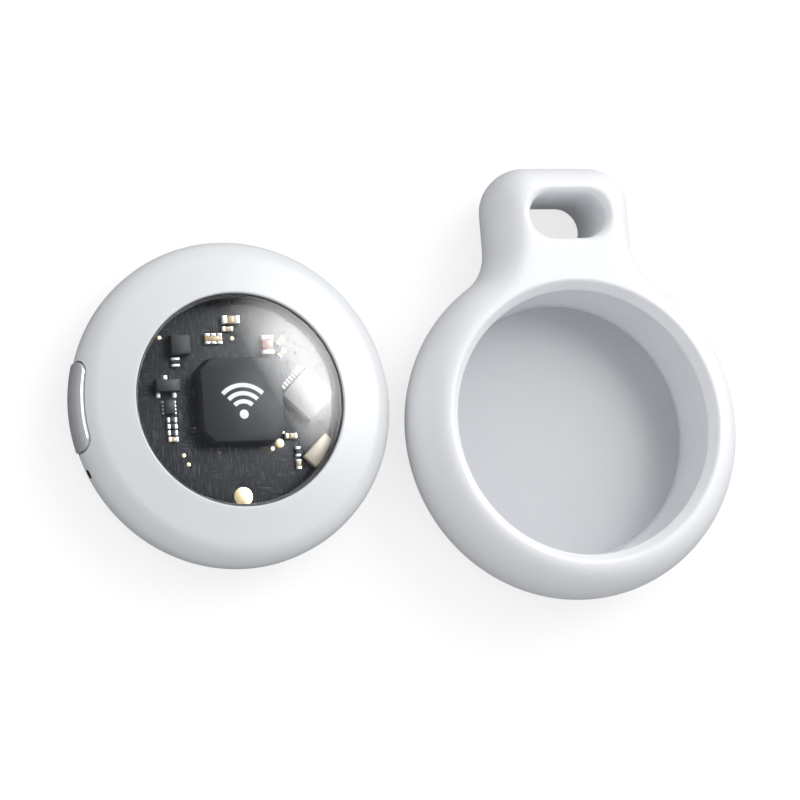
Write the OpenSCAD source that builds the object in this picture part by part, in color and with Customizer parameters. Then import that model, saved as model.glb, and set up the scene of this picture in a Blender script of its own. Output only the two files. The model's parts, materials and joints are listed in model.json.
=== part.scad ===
// Round tracker tag with a domed window, and the soft loop holder that it snaps into.
// Millimetres. The origin is the centre of the tag's rear face, +Z points out of the window,
// -X is the button's side, and the holder lies beside the tag with its lug towards +Y.

/* [Tag] */
// Radius of the tag at its rim
tag_r = 16; // [15.5:0.1:17]
// Radius of the rim's lower curve
low_r = 3.1; // [2.9:0.1:3.4]
// Radius of the rim's upper curve
up_r = 2.5; // [2.3:0.1:2.8]
// Height of the white face at the window's edge
face_z = 6.8; // [6.7:0.05:7]
// Thickness of the white shells
wall = 1.1; // [1:0.05:1.2]
// Height where the two shells meet
parting_z = 2.2; // [2:0.1:2.4]

/* [Window] */
// Radius of the opening in the white face
window_r = 10.46; // [10.2:0.02:10.8]
// Radius of the dome's foot
dome_r = 9.25; // [9:0.05:9.4]
// Rise of the dome above its flat rim
dome_rise = 0.75; // [0.5:0.05:0.9]
// Thickness of the clear lens
lens_t = 0.85; // [0.7:0.05:0.9]

/* [Button] */
// Half length of the button along the rim
button_half = 4.3; // [3.5:0.1:4.5]
// Height of the button's lower edge
button_low = 1.6; // [1.6:0.05:1.8]
// Height of the button's upper edge
button_high = 5.3; // [5:0.05:5.4]
// Gap round the button
button_gap = 0.17; // [0.08:0.01:0.2]
// How far the button stands proud of the rim
button_proud = 0.2; // [0.1:0.05:0.25]
// Direction of the sound hole round the rim, in degrees
sound_angle = 203.6; // [202:0.2:208]

/* [Battery and door] */
// Radius of the coin cell
cell_r = 10; // [9.9:0.05:10]
// Thickness of the coin cell
cell_t = 2.5; // [2.4:0.05:2.5]
// Radius of the battery door
door_r = 11.7; // [11.5:0.05:11.75]
// Turn that frees the door, in degrees
door_turn = 25; // [22:1:30]

/* [Board] */
// Radius of the board
board_r = 12.6; // [12.4:0.1:12.7]
// Height of the board's underside
board_z = 4; // [3.95:0.05:4]
// Thickness of the board
board_t = 0.6; // [0.5:0.05:0.6]

/* [Holder] */
// Radius of the holder at its mid height
holder_r = 17.2; // [17.2:0.1:18]
// Thickness of the holder
holder_t = 8.85; // [8.6:0.05:9]
// How far the holder's rounded side bulges
bulge = 3.05; // [2.8:0.05:3.05]
// Radius of the mouth at its outer edge
mouth_r = 14.05; // [13.8:0.05:14.05]
// Radius of the lip that holds the tag
lip_r = 13.25; // [13.1:0.05:13.4]
// Thickness of the holder's floor
floor_t = 1.6; // [1.4:0.05:1.6]
// Half width of the lug
lug_half = 7.5; // [7:0.1:8]
// Distance from the holder's centre to the lug's end
lug_end = 26.2; // [25.5:0.1:27]
// Corner radius of the lug
lug_corner = 4.15; // [3.8:0.05:4.5]
// Distance from the holder's centre to the slot's centre
slot_y = 20.75; // [20.5:0.05:21]
// Length of the slot
slot_len = 8.1; // [7.5:0.1:8.5]
// Width of the slot
slot_w = 4.6; // [4.4:0.1:4.8]
// Radius of the inside curves between the disc and the lug
flare_r = 5; // [4.5:0.1:5.5]
// Place of the holder's centre
holder_at = [34.9, -3.1];

/* [Hidden] */
$fn = 72;
tall = 30;

// Rim curves: the lower arc runs up from the flat rear face, the upper arc runs into the face's slope.
low_c = [tag_r - low_r, low_r];
up_c = [tag_r - up_r, low_r + 0.56];
to_edge = [window_r - up_c[0], face_z - up_c[1]];
face_slope = acos(up_r / norm(to_edge)) - atan2(-to_edge[0], to_edge[1]);
face_n = [sin(face_slope), cos(face_slope)];
board_top = board_z + board_t;
rim_z = face_z + 0.05;
ledge_z = rim_z - lens_t - 0.05;
ledge_t = 0.35;
ledge_r = window_r - 0.2;
dome_ball = (dome_r * dome_r + dome_rise * dome_rise) / (2 * dome_rise);
door_hole_r = door_r + 0.15;
door_t = 0.85;
tab_z = wall + 0.05;
cell_z = 0.95;
plunger_z = 3.6;
button_t = 1.55;
switch_x = -12.9;
lip_h = 0.95;
seat_gap = 0.05;

// Half section of the tag, moved inwards by t, with the face's slope carried on to the axis.
module tag_half(t = 0)
{
    tangent = up_c + (up_r - t) * face_n;
    axis_z = tangent[1] + tangent[0] * tan(face_slope);
    polygon([
        [0, t], [low_c[0], t], [low_c[0], low_c[1]], [tag_r - t, low_c[1]], [tag_r - t, up_c[1]],
        up_c, tangent, [0, axis_z]
    ]);
    intersection() {
        translate(low_c) circle(low_r - t);
        translate([0, t]) square([tag_r, low_c[1] - t]);
    }
    translate(up_c) circle(up_r - t);
}

module shell_half(t_out, t_in, z_low, z_high)
{
    intersection() {
        difference() {
            tag_half(t_out);
            tag_half(t_in);
        }
        translate([0, z_low]) square([tag_r + 1, z_high - z_low]);
    }
}

module ring(r_out, r_in, z, h)
{
    translate([0, 0, z]) difference() {
        cylinder(r = r_out, h = h);
        translate([0, 0, -1]) cylinder(r = r_in, h = h + 2);
    }
}

// Rounded bar along -X whose section is the button's outline, grown by g.
module button_bar(g, x_far, x_near)
{
    r = 1.2 + g;
    half = button_half + g;
    low = button_low - g;
    high = button_high + g;
    translate([x_far, 0, 0]) rotate([90, 0, 90]) linear_extrude(x_near - x_far) {
        translate([-half + r, low]) square([2 * (half - r), high - low]);
        translate([-half, low + r]) square([2 * half, high - low - 2 * r]);
        for (y = [-1, 1], z = [low + r, high - r])
            translate([y * (half - r), z]) circle(r);
    }
}

module sound_drill(r, r_near, r_far)
{
    rotate([0, 0, sound_angle]) translate([r_near, 0, low_r]) rotate([0, 90, 0])
        cylinder(r = r, h = r_far - r_near);
}

module front_housing()
{
    color("white") difference() {
        rotate_extrude() {
            intersection() {
                shell_half(0, wall, parting_z, tall);
                translate([window_r, 0]) square([tag_r, tall]);
            }
            translate([ledge_r, ledge_z - ledge_t]) square([window_r + 0.9 - ledge_r, ledge_t]);
        }
        button_bar(button_gap, -tag_r - 1, -12.2);
        sound_drill(0.5, 13.2, tag_r + 1);
    }
}

// Three wedge-shaped tabs or notches round the door.
module door_tabs(r_in, r_out, half_angle, turn, z, h)
{
    for (a = [0, 120, 240]) rotate([0, 0, a + turn - half_angle]) translate([0, 0, z])
        rotate_extrude(angle = 2 * half_angle) translate([r_in, 0]) square([r_out - r_in, h]);
}

module rear_housing()
{
    color("white") difference() {
        rotate_extrude() {
            intersection() {
                shell_half(0, wall, 0, parting_z);
                translate([door_hole_r, 0]) square([tag_r, tall]);
            }
            translate([tag_r - wall - 0.7, parting_z - 0.5]) square([0.46, 1.4]);
        }
        door_tabs(door_hole_r - 0.5, 12.75, 11, door_turn + 1, -1, 3);
        button_bar(button_gap, -tag_r - 1, -12.9);
        translate([-tag_r, -5.3, parting_z - 0.7]) cube([3.5, 10.6, 3]);
        sound_drill(0.5, 13.2, tag_r + 1);
    }
}

module window_lens()
{
    ball_z = rim_z + dome_rise - dome_ball;
    color("lightcyan", 0.4) difference() {
        union() {
            translate([0, 0, rim_z - lens_t]) cylinder(r = window_r - 0.1, h = lens_t);
            intersection() {
                translate([0, 0, ball_z]) sphere(r = dome_ball, $fn = 200);
                translate([0, 0, rim_z - 0.1]) cylinder(r = dome_r, h = 2);
            }
        }
        intersection() {
            translate([0, 0, ball_z - lens_t]) sphere(r = dome_ball, $fn = 200);
            translate([0, 0, rim_z - lens_t - 0.5]) cylinder(r = dome_r, h = 3);
        }
    }
}

module lens_adhesive_ring()
{
    color("black") ring(window_r - 0.11, ledge_r + 0.01, ledge_z, 0.05);
}

// Dark sleeve between the board and the lens, notched over the antenna.
module window_bezel()
{
    low = board_top + 0.1;
    color("black") difference() {
        ring(ledge_r - 0.01, ledge_r - 0.14, low, ledge_z + 0.03 - low);
        on_board(antenna_at, 45) block([3.4, 1.8, 0.9]);
    }
}

module battery_door()
{
    color("white") difference() {
        union() {
            cylinder(r = door_r, h = door_t);
            ring(door_r, door_r - 0.8, 0, tab_z + 0.5);
            door_tabs(door_r - 0.5, 12.6, 9, 0, tab_z, 0.5);
        }
        rotate_extrude() translate([door_r - 0.14, 0.5]) circle(0.3);
        translate([-4.5, -0.7, -1]) cube([9, 1.4, 1.4]);
        translate([0, 0, -0.6]) cylinder(r = 2.6, h = 0.8);
    }
}

module door_seal()
{
    color("black") rotate_extrude() translate([door_r - 0.14, 0.5]) circle(0.26);
}

module side_button()
{
    color("silver") {
        intersection() {
            rotate_extrude() shell_half(-button_proud, button_t, 0, face_z);
            button_bar(0, -tag_r - 1, -13.4);
        }
        intersection() {
            rotate_extrude() shell_half(wall + 0.05, button_t, 0, face_z);
            button_bar(0.35, -tag_r - 1, -13.6);
        }
        translate([-14.6, 0, plunger_z]) rotate([0, 90, 0]) cylinder(r = 0.9, h = 1.35);
    }
}

module switch_body()
{
    color("dimgray") difference() {
        translate([switch_x, -2.1, 2.75]) cube([1.9, 4.2, 1.7]);
        translate([switch_x - 1, 0, plunger_z]) rotate([0, 90, 0]) cylinder(r = 0.7, h = 2);
    }
}

module switch_cover()
{
    color("silver") difference() {
        translate([switch_x + 0.1, -2.3, 2.6]) cube([1.7, 4.6, 2]);
        translate([switch_x - 1, -2.12, 1.5]) cube([4, 4.24, 2.97]);
    }
}

module switch_plunger()
{
    color("black") translate([-13.25, 0, plunger_z]) rotate([0, 90, 0]) cylinder(r = 0.55, h = 0.7);
}

module battery_can()
{
    color("silver") difference() {
        translate([0, 0, cell_z]) cylinder(r = cell_r, h = cell_t - 0.25);
        translate([0, 0, cell_z + 0.25]) cylinder(r = cell_r - 0.6, h = cell_t);
        ring(cell_r + 1, cell_r - 0.2, cell_z - 1, 1.2);
    }
}

module battery_seal()
{
    color("darkslategray") ring(cell_r - 0.62, cell_r - 1, cell_z + 0.27, cell_t - 0.4);
}

module battery_cap()
{
    color("gainsboro") {
        translate([0, 0, cell_z + 0.27]) cylinder(r = cell_r - 1.02, h = cell_t - 0.42);
        translate([0, 0, cell_z + 1]) cylinder(r = cell_r - 1.3, h = cell_t - 1);
    }
}

module positive_contact()
{
    color("gold") {
        translate([-1.5, cell_r + 0.03, 1.4]) cube([3, 0.12, board_z - 1.42]);
        translate([-1.5, cell_r + 0.03, board_z - 0.12]) cube([3, 1.6, 0.1]);
    }
}

module negative_contact()
{
    top = board_z - 0.02;
    low = cell_z + cell_t + 0.02;
    color("gold") translate([0, 1.2, 0]) rotate([90, 0, 0]) linear_extrude(2.4) polygon([
        [-6, top], [-2, top], [2.4, low + 0.12], [3.6, low + 0.3], [3.6, low + 0.2],
        [2.4, low], [-2.2, top - 0.12], [-6, top - 0.12]
    ]);
}

module battery_tray()
{
    color("whitesmoke") difference() {
        union() {
            ring(cell_r + 0.8, cell_r + 0.2, 1.7, board_z - 1.75);
            ring(board_r, cell_r + 0.2, board_z - 0.4, 0.35);
        }
        translate([-1.8, cell_r - 1, 0]) cube([3.6, 3, 5]);
        translate([-tag_r, -2.5, 0]) cube([tag_r - 10.85, 5, 5]);
        rotate([0, 0, sound_angle]) translate([cell_r + 0.85, -3.2, 0]) cube([5, 5.6, 5]);
    }
}

module main_board()
{
    color([0.16, 0.17, 0.19]) difference() {
        translate([0, 0, board_z]) cylinder(r = board_r, h = board_t);
        translate([-tag_r, -2.5, 3]) cube([tag_r - 10.85, 5, 3]);
    }
}

// Parts on the board: [centre x, centre y] and a turn. Every one stands on the board's top.
module on_board(at, turn = 0)
{
    translate([at[0], at[1], board_top]) rotate([0, 0, turn]) children();
}

module block(size)
{
    translate([-size[0] / 2, -size[1] / 2, 0]) cube(size);
}

processor_at = [0.3, 0];
processor_h = 1.85;
memory_at = [-5.3, 5.65];
power_at = [-6.85, 1.7];
sensor_at = [-6.65, -0.35];
radio_at = [7.35, 0.6];
antenna_at = [8.2, -4.9];
inductor_at = [3.65, 5.6];
array_at = [-1.75, 6.3];

// Two-ended parts: [x, y, turn, length, width, height]
capacitors = [
    [0.1, 8.15, 0, 1.8, 0.8, 0.5], [-0.25, 7.25, 0, 1.1, 0.5, 0.35], [5.4, -3.4, 0, 1.2, 0.55, 0.4],
    [6, -6.2, 90, 1, 0.5, 0.35], [-6.5, -3.5, 0, 1, 0.5, 0.35], [5, 6, 45, 1, 0.5, 0.35],
    [5.1, 4.8, 45, 1, 0.5, 0.35]
];
resistors = [
    [6, -4.95, 90, 1, 0.5, 0.3], [-6.5, -1.6, 0, 1, 0.5, 0.3], [-6.5, -2.23, 0, 1, 0.5, 0.3],
    [-6.5, -2.87, 0, 1, 0.5, 0.3], [-5.75, 4.05, 90, 0.9, 0.8, 0.35]
];
end_share = 0.28;

// Flat pads: [x, y, radius]
pads = [
    [0.2, -9.2, 0.93], [4.27, -4.07, 0.44], [3.5, -4.6, 0.2], [4.7, -3, 0.13], [-5.5, -5.05, 0.2],
    [-5.1, -5.95, 0.2], [0.2, 6.35, 0.2], [-7.15, 6.5, 0.2]
];

module main_processor()
{
    color([0.25, 0.25, 0.28]) on_board(processor_at) linear_extrude(processor_h, scale = 0.965) difference() {
        square(8.5, center = true);
        for (a = [45:90:315]) rotate(a) translate([5.18, -3]) square(6);
    }
}

// Printed mark: a dot under three arcs.
module processor_mark()
{
    color("white") on_board(processor_at) translate([0, -1.45, processor_h]) {
        cylinder(r = 0.45, h = 0.02);
        for (r = [1.05, 1.85, 2.65]) rotate([0, 0, 45]) rotate_extrude(angle = 90)
            translate([r, 0]) square([0.42, 0.02]);
    }
}

module memory_chip()
{
    color([0.3, 0.31, 0.34]) on_board(memory_at) block([1.9, 1.9, 0.95]);
}

module power_chip()
{
    color([0.2, 0.21, 0.24]) on_board(power_at) translate([0, 0, 0.12]) block([2.4, 1.2, 0.85]);
}

module power_chip_legs()
{
    color("silver") on_board(power_at) for (leg = [[-0.8, -1], [0.8, -1], [0, 1]])
        translate([leg[0], leg[1] * 0.8, 0]) block([0.38, 0.6, 0.11]);
}

module sensor_chip()
{
    color([0.2, 0.21, 0.24]) on_board(sensor_at) translate([0, 0, 0.06]) block([1, 1.35, 0.45]);
}

module sensor_chip_pads()
{
    color("silver") on_board(sensor_at) for (x = [-1, 1], row = [-1.5:1:1.5])
        translate([x * 0.52, row * 0.36, 0]) block([0.36, 0.2, 0.05]);
}

module radio_can()
{
    color([0.6, 0.6, 0.62]) on_board(radio_at, 45) difference() {
        block([3.8, 3.8, 0.95]);
        translate([0, 0, -0.05]) block([3.6, 3.6, 0.9]);
    }
}

module chip_antenna()
{
    color("linen") on_board(antenna_at, 45) block([3.2, 1.6, 0.7]);
}

module two_ended_body(part)
{
    on_board([part[0], part[1]], part[2]) translate([0, 0, 0.02])
        block([part[3] * (1 - 2 * end_share), part[4] * 0.94, part[5] - 0.04]);
}

module two_ended_ends(part)
{
    end = part[3] * end_share;
    on_board([part[0], part[1]], part[2]) for (side = [-1, 1])
        translate([side * (part[3] - end) / 2, 0, 0]) block([end, part[4], part[5]]);
}

module capacitor_bodies()
{
    color("tan") for (part = capacitors) two_ended_body(part);
}

module resistor_bodies()
{
    color([0.1, 0.1, 0.12]) for (part = resistors) two_ended_body(part);
}

module chip_terminals()
{
    color("silver") {
        for (part = capacitors) two_ended_ends(part);
        for (part = resistors) two_ended_ends(part);
    }
}

module inductor()
{
    color("brown") on_board(inductor_at, 90) block([1, 1.1, 0.6]);
}

module inductor_terminals()
{
    color("silver") on_board(inductor_at, 90) for (side = [-1, 1])
        translate([side * 0.72, 0, 0]) block([0.43, 1.2, 0.62]);
}

module array_body()
{
    color("tan") on_board(array_at) block([1.75, 0.5, 0.35]);
}

module array_terminals()
{
    color("silver") on_board(array_at) for (column = [-0.62, 0, 0.62], side = [-1, 1])
        translate([column, side * 0.39, 0]) block([0.48, 0.27, 0.37]);
}

module test_pads()
{
    color("gold") for (pad = pads) on_board(pad) cylinder(r = pad[2], h = 0.04, $fn = 32);
}

module antenna_loop()
{
    color("peru") translate([0, 0, board_top]) rotate([0, 0, 192])
        rotate_extrude(angle = 336) translate([11.4, 0]) square([0.9, 0.04]);
}

module sounder_case()
{
    color([0.15, 0.15, 0.16]) difference() {
        rotate([0, 0, sound_angle]) translate([10.95, -2.2, 1.75]) cube([2.4, 4.4, 2]);
        rotate([0, 0, sound_angle]) translate([11.3, -1.8, 2.1]) cube([1.7, 3.6, 1.3]);
        sound_drill(0.4, 12.5, 14);
    }
}

module sounder_diaphragm()
{
    color("gold") rotate([0, 0, sound_angle]) translate([11.9, 0, 2.75]) rotate([0, 90, 0])
        cylinder(r = 0.62, h = 0.08);
}

module sound_mesh()
{
    color("dimgray") sound_drill(0.5, 13.75, 13.85);
}

// Holder: the rounded side follows an ellipse, so its outline shrinks by this much at height z.
function side_in(z) = bulge * (1 - sqrt(1 - pow(2 * z / holder_t - 1, 2)));
side_steps = 10;
side_z = [for (i = [0:side_steps]) holder_t / 2 * (1 - cos(180 * i / side_steps))];

// Half section from x = 0 to the side's widest point at x = far.
module side_half(far)
{
    polygon(concat([[0, 0]], [for (z = side_z) [far - side_in(z), z]], [[0, holder_t]]));
}

module holder_lug()
{
    reach = lug_half - lug_corner;
    y_far = lug_end - lug_corner;
    for (side = [0, 1]) mirror([side, 0, 0]) translate([reach, y_far, 0]) {
        rotate_extrude(angle = 90) side_half(lug_corner);
        rotate([90, 0, 0]) linear_extrude(y_far) side_half(lug_corner);
    }
    translate([-reach, y_far, 0]) rotate([90, 0, 90]) linear_extrude(2 * reach) side_half(lug_corner);
    translate([-reach, 0, 0]) cube([2 * reach, y_far, holder_t]);
}

// Inside curve between the disc and the lug. Its cutter is a little too large, so that it crosses
// both outlines cleanly.
module holder_flare()
{
    cx = lug_half + flare_r;
    cy = sqrt(pow(holder_r + flare_r, 2) - cx * cx);
    touch = [cx, cy] * holder_r / (holder_r + flare_r);
    cut_r = flare_r + 0.1;
    difference() {
        linear_extrude(holder_t) polygon([[0, 0], touch, [cx, cy], [lug_half, cy], [0, cy]]);
        translate([cx, cy, 0]) rotate_extrude() polygon(concat(
            [[0, -1], [cut_r + bulge, -1]],
            [for (z = side_z) [cut_r + side_in(z), z]],
            [[cut_r + bulge, holder_t + 1], [0, holder_t + 1]]
        ));
    }
}

// Half section of the pocket: the tag's own shape with a little room, the lip and the mouth.
module pocket_half()
{
    lip_z = holder_t - lip_h;
    mouth_slope = (mouth_r - lip_r) / lip_h;
    translate([0, floor_t]) intersection() {
        tag_half(-seat_gap);
        square([tag_r + 1, lip_z - floor_t]);
    }
    translate([0, floor_t + 1]) square([lip_r, lip_z - floor_t]);
    polygon([[0, lip_z], [lip_r, lip_z], [mouth_r + mouth_slope, holder_t + 1], [0, holder_t + 1]]);
}

module holder()
{
    color("white") translate([holder_at[0], holder_at[1], 0]) difference() {
        union() {
            rotate_extrude() side_half(holder_r);
            holder_lug();
            holder_flare();
            mirror([1, 0, 0]) holder_flare();
        }
        rotate_extrude() pocket_half();
        for (side = [-1, 1])
            translate([side * (slot_len - slot_w) / 2, slot_y, -1]) cylinder(d = slot_w, h = tall);
        translate([0, slot_y, tall / 2 - 1]) cube([slot_len - slot_w, slot_w, tall], center = true);
    }
}

front_housing();
rear_housing();
window_lens();
lens_adhesive_ring();
window_bezel();
battery_door();
door_seal();
side_button();
switch_body();
switch_cover();
switch_plunger();
battery_can();
battery_seal();
battery_cap();
positive_contact();
negative_contact();
battery_tray();
main_board();
main_processor();
processor_mark();
memory_chip();
power_chip();
power_chip_legs();
sensor_chip();
sensor_chip_pads();
radio_can();
chip_antenna();
capacitor_bodies();
resistor_bodies();
chip_terminals();
inductor();
inductor_terminals();
array_body();
array_terminals();
test_pads();
antenna_loop();
sounder_case();
sounder_diaphragm();
sound_mesh();
holder();
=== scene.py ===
# Round tracker tag with a domed window over its board, beside its soft loop holder.
import json
from functools import cached_property
from math import acos, asin, atan2, cos, degrees, hypot, radians, sin, sqrt, tan

import bmesh
import bpy
from mathutils import Matrix, Vector


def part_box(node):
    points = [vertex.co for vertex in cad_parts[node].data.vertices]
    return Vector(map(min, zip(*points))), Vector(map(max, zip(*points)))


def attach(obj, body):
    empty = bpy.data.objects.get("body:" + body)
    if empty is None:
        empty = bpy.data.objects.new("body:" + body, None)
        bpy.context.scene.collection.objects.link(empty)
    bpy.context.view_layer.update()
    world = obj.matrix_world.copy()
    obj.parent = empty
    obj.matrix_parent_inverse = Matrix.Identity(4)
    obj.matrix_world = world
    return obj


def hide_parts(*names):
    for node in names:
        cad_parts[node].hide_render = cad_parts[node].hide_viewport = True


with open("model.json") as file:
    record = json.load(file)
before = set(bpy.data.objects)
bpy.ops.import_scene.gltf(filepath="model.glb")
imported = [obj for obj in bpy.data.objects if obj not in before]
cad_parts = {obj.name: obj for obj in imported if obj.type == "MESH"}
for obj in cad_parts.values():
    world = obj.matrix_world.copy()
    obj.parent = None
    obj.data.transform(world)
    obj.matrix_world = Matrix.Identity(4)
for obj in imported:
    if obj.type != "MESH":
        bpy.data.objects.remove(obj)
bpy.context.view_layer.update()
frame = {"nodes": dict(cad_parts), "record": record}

MM = 0.001


def low(node):
    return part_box(node)[0] / MM


def high(node):
    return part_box(node)[1] / MM


# Tag, in millimetres from the centre of its rear face.
TAG_R = high("front_housing").x
PARTING_Z = low("front_housing").z
FACE_Z = high("front_housing").z
WALL = 1.1
LOW_R = 3.1
UP_R = 2.5
LOW_C = (TAG_R - LOW_R, LOW_R)
UP_C = (TAG_R - UP_R, LOW_R + 0.56)
WINDOW_R = 10.46
LEDGE_Z = low("lens_adhesive_ring").z
LEDGE_R = WINDOW_R - 0.2
LEDGE_T = 0.35
LENS_R = high("window_lens").x
LENS_Z = low("window_lens").z
LENS_T = 0.85
DOME_R = 9.25
DOME_TOP = high("window_lens").z
SOUND_ANGLE = 203.6

# Slope of the white face, and the height on the lower curve where the two shells meet.
reach = (WINDOW_R - UP_C[0], FACE_Z - UP_C[1])
FACE_SLOPE = degrees(acos(UP_R / hypot(*reach)) - atan2(-reach[0], reach[1]))
PARTING_ANGLE = degrees(asin((PARTING_Z - LOW_C[1]) / LOW_R))

# Button, as its outline on the rim.
BUTTON_HALF = 4.3
BUTTON_LOW = 1.6
BUTTON_HIGH = 5.3
BUTTON_CORNER = 1.2
BUTTON_GAP = 0.17
BUTTON_PROUD = -low("side_button").x - TAG_R
BUTTON_BACK = -13.9

# Battery door.
DOOR_R = 11.7
DOOR_HOLE_R = DOOR_R + 0.15
DOOR_TURN = 25

# Holder, in millimetres from its own centre.
HOLDER_R = (high("holder").x - low("holder").x) / 2
HOLDER_X = low("holder").x + HOLDER_R
HOLDER_Y = low("holder").y + HOLDER_R
HOLDER_T = high("holder").z
LUG_END = high("holder").y - HOLDER_Y
BULGE = 3.05
MOUTH_R = 14.05
LIP_R = 13.25
LIP_Z = HOLDER_T - 0.95
FLOOR_T = 1.6
SEAT_GAP = 0.05
LUG_HALF = 7.5
LUG_CORNER = 4.15
SLOT_Y = 20.75
SLOT_HALF = 4.05
SLOT_R = 2.3
SLOT_SOFT = 0.8
FLARE_R = 5.0
FLARE_X = LUG_HALF + FLARE_R
FLARE_Y = sqrt((HOLDER_R + FLARE_R) ** 2 - FLARE_X ** 2)
CORNER_X = LUG_HALF - LUG_CORNER
CORNER_Y = LUG_END - LUG_CORNER
LUG_FOOT_Y = 10


# ---- Camera, lights and floor ----

VIEW_BACK = Vector((-0.338, -0.166, 0.9265)).normalized()
VIEW_UP = Vector((0.018, 0.983, 0.182))
VIEW_RIGHT = VIEW_UP.cross(VIEW_BACK).normalized()
VIEW_DISTANCE = 431


def turned_to(back, up):
    """Turn whose local Z points along back, with local Y near up."""
    side = up.cross(back).normalized()
    return Matrix((side, back.cross(side), back)).transposed().to_4x4()


def make_camera():
    data = bpy.data.cameras.new("camera")
    data.lens = 200
    data.sensor_width = 36
    data.clip_start = 0.01
    data.clip_end = 20
    camera = bpy.data.objects.new("camera", data)
    bpy.context.scene.collection.objects.link(camera)
    middle = Vector((0, 0, 3.4)) + 16.4 * VIEW_RIGHT + 0.5 * VIEW_BACK.cross(VIEW_RIGHT)
    place = (middle + VIEW_DISTANCE * VIEW_BACK) * MM
    camera.matrix_world = Matrix.Translation(place) @ turned_to(VIEW_BACK, VIEW_UP)
    bpy.context.scene.camera = camera


make_camera()


# ---- Materials ----

class Wire:
    """An output of a node. Arithmetic on it adds Math nodes."""

    def __init__(self, finish, socket):
        self.finish = finish
        self.socket = socket

    def math(self, operation, *values):
        return self.finish.node("Math", {"operation": operation}, dict(enumerate(values)))

    def __add__(self, other):
        return self.math("ADD", self, other)

    def __sub__(self, other):
        return self.math("SUBTRACT", self, other)

    def __rsub__(self, other):
        return self.math("SUBTRACT", other, self)

    def __mul__(self, other):
        return self.math("MULTIPLY", self, other)

    def __gt__(self, other):
        return self.math("GREATER_THAN", self, other)

    def __lt__(self, other):
        return self.math("LESS_THAN", self, other)

    __radd__ = __add__
    __rmul__ = __mul__


class Finish:
    """The nodes of a material, or of the studio's world."""

    def __init__(self, owner):
        self.owner = owner
        owner.use_nodes = True
        self.tree = owner.node_tree
        self.tree.nodes.clear()

    @cached_property
    def mm(self):
        """Place on the piece, in millimetres."""
        place = self.node("TexCoord", output="Object")
        return self.node("Mapping", {}, {"Vector": place, "Scale": (1 / MM, 1 / MM, 1 / MM)})

    def node(self, kind, settings=None, sockets=None, output=0):
        made = self.tree.nodes.new("ShaderNode" + kind)
        for key, value in (settings or {}).items():
            if key == "stops":
                self.set_stops(made.color_ramp, value)
            else:
                setattr(made, key, value)
        for key, value in (sockets or {}).items():
            if isinstance(value, Wire):
                self.tree.links.new(value.socket, made.inputs[key])
            else:
                made.inputs[key].default_value = value
        return Wire(self, made.outputs[output]) if made.outputs else None

    def set_stops(self, ramp, stops):
        while len(ramp.elements) < len(stops):
            ramp.elements.new(0.5)
        for element, (place, colour) in zip(ramp.elements, stops):
            element.position = place
            element.color = colour

    def noise(self, scale, detail=2, vector=None, roughness=0.5):
        return self.node("TexNoise", {}, {
            "Vector": vector or self.mm, "Scale": scale, "Detail": detail, "Roughness": roughness,
        })

    def stretched(self, scale, offset=(0, 0, 0), turn=(0, 0, 0)):
        """Millimetre coordinates, turned and then stretched."""
        turned = self.node("Mapping", {}, {"Vector": self.mm, "Rotation": turn, "Location": offset})
        return self.node("Mapping", {}, {"Vector": turned, "Scale": scale})

    def parts(self, vector):
        split = self.node("SeparateXYZ", {}, {"Vector": vector})
        outputs = split.socket.node.outputs
        return Wire(self, outputs[0]), Wire(self, outputs[1]), Wire(self, outputs[2])

    def colours(self, factor, first, second):
        return self.node("Mix", {"data_type": "RGBA"}, {0: factor, 6: first, 7: second}, 2)

    def ramp(self, factor, stops):
        grey = [(place, (value, value, value, 1)) for place, value in stops]
        return self.node("ValToRGB", {"stops": grey}, {"Fac": factor})

    def bump(self, height, depth, under=None):
        sockets = {"Height": height, "Strength": 1.0, "Distance": depth * MM}
        if under:
            sockets["Normal"] = under
        return self.node("Bump", {}, sockets)

    def principled(self, **sockets):
        named = {key.replace("_", " "): value for key, value in sockets.items()}
        return self.node("BsdfPrincipled", {}, named)

    def use(self, shader, kind="OutputMaterial"):
        self.node(kind, {}, {"Surface": shader})
        return self.owner


def new_finish(name):
    return Finish(bpy.data.materials.new(name))


def rgb(red, green, blue):
    return (red, green, blue, 1)


def moulded(name, colour, roughness, grain, depth, tone=0.03, **extra):
    """Moulded or ceramic surface: a fine grain, with a little cloudiness in colour and gloss."""
    finish = new_finish(name)
    cloud = finish.noise(0.35, 3)
    darker = rgb(*[part * (1 - tone) for part in colour])
    fine = finish.noise(grain, 3)
    waves = finish.noise(0.5, 2)
    shader = finish.principled(
        Base_Color=finish.colours(cloud, darker, rgb(*colour)),
        Roughness=roughness - 0.04 + 0.08 * finish.noise(grain / 3, 2),
        Normal=finish.bump(fine, depth, finish.bump(waves, depth * 2)),
        **extra,
    )
    return finish.use(shader)


def soft_silicone():
    """Matt white silicone, with painted shade that makes the pocket's floor greyer."""
    finish = new_finish("white_silicone")
    centred = finish.stretched((1, 1, 0), (-HOLDER_X, -HOLDER_Y, 0))
    radius = finish.node("VectorMath", {"operation": "LENGTH"}, {0: centred}, "Value")
    _, _, z = finish.parts(finish.mm)
    cloud = finish.noise(0.3, 3)
    white = finish.colours(cloud, rgb(0.83, 0.84, 0.865), rgb(0.845, 0.855, 0.88))
    # Greyer copy of the silicone's white: painted shade, laid on the pocket's floor below.
    pocket_shade = finish.colours(cloud, rgb(0.54, 0.55, 0.58), rgb(0.57, 0.58, 0.61))
    shader = finish.principled(
        # Mask for the painted shade: the flat floor inside the pocket.
        Base_Color=finish.colours((radius < 12.88) * (z < 3) * (z > 1), white, pocket_shade),
        Roughness=0.56 + 0.08 * finish.noise(2.4, 2),
        Normal=finish.bump(finish.noise(7, 3), 0.002, finish.bump(finish.noise(0.5, 2), 0.004)),
        Specular_IOR_Level=0.3,
    )
    return finish.use(shader)


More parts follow.
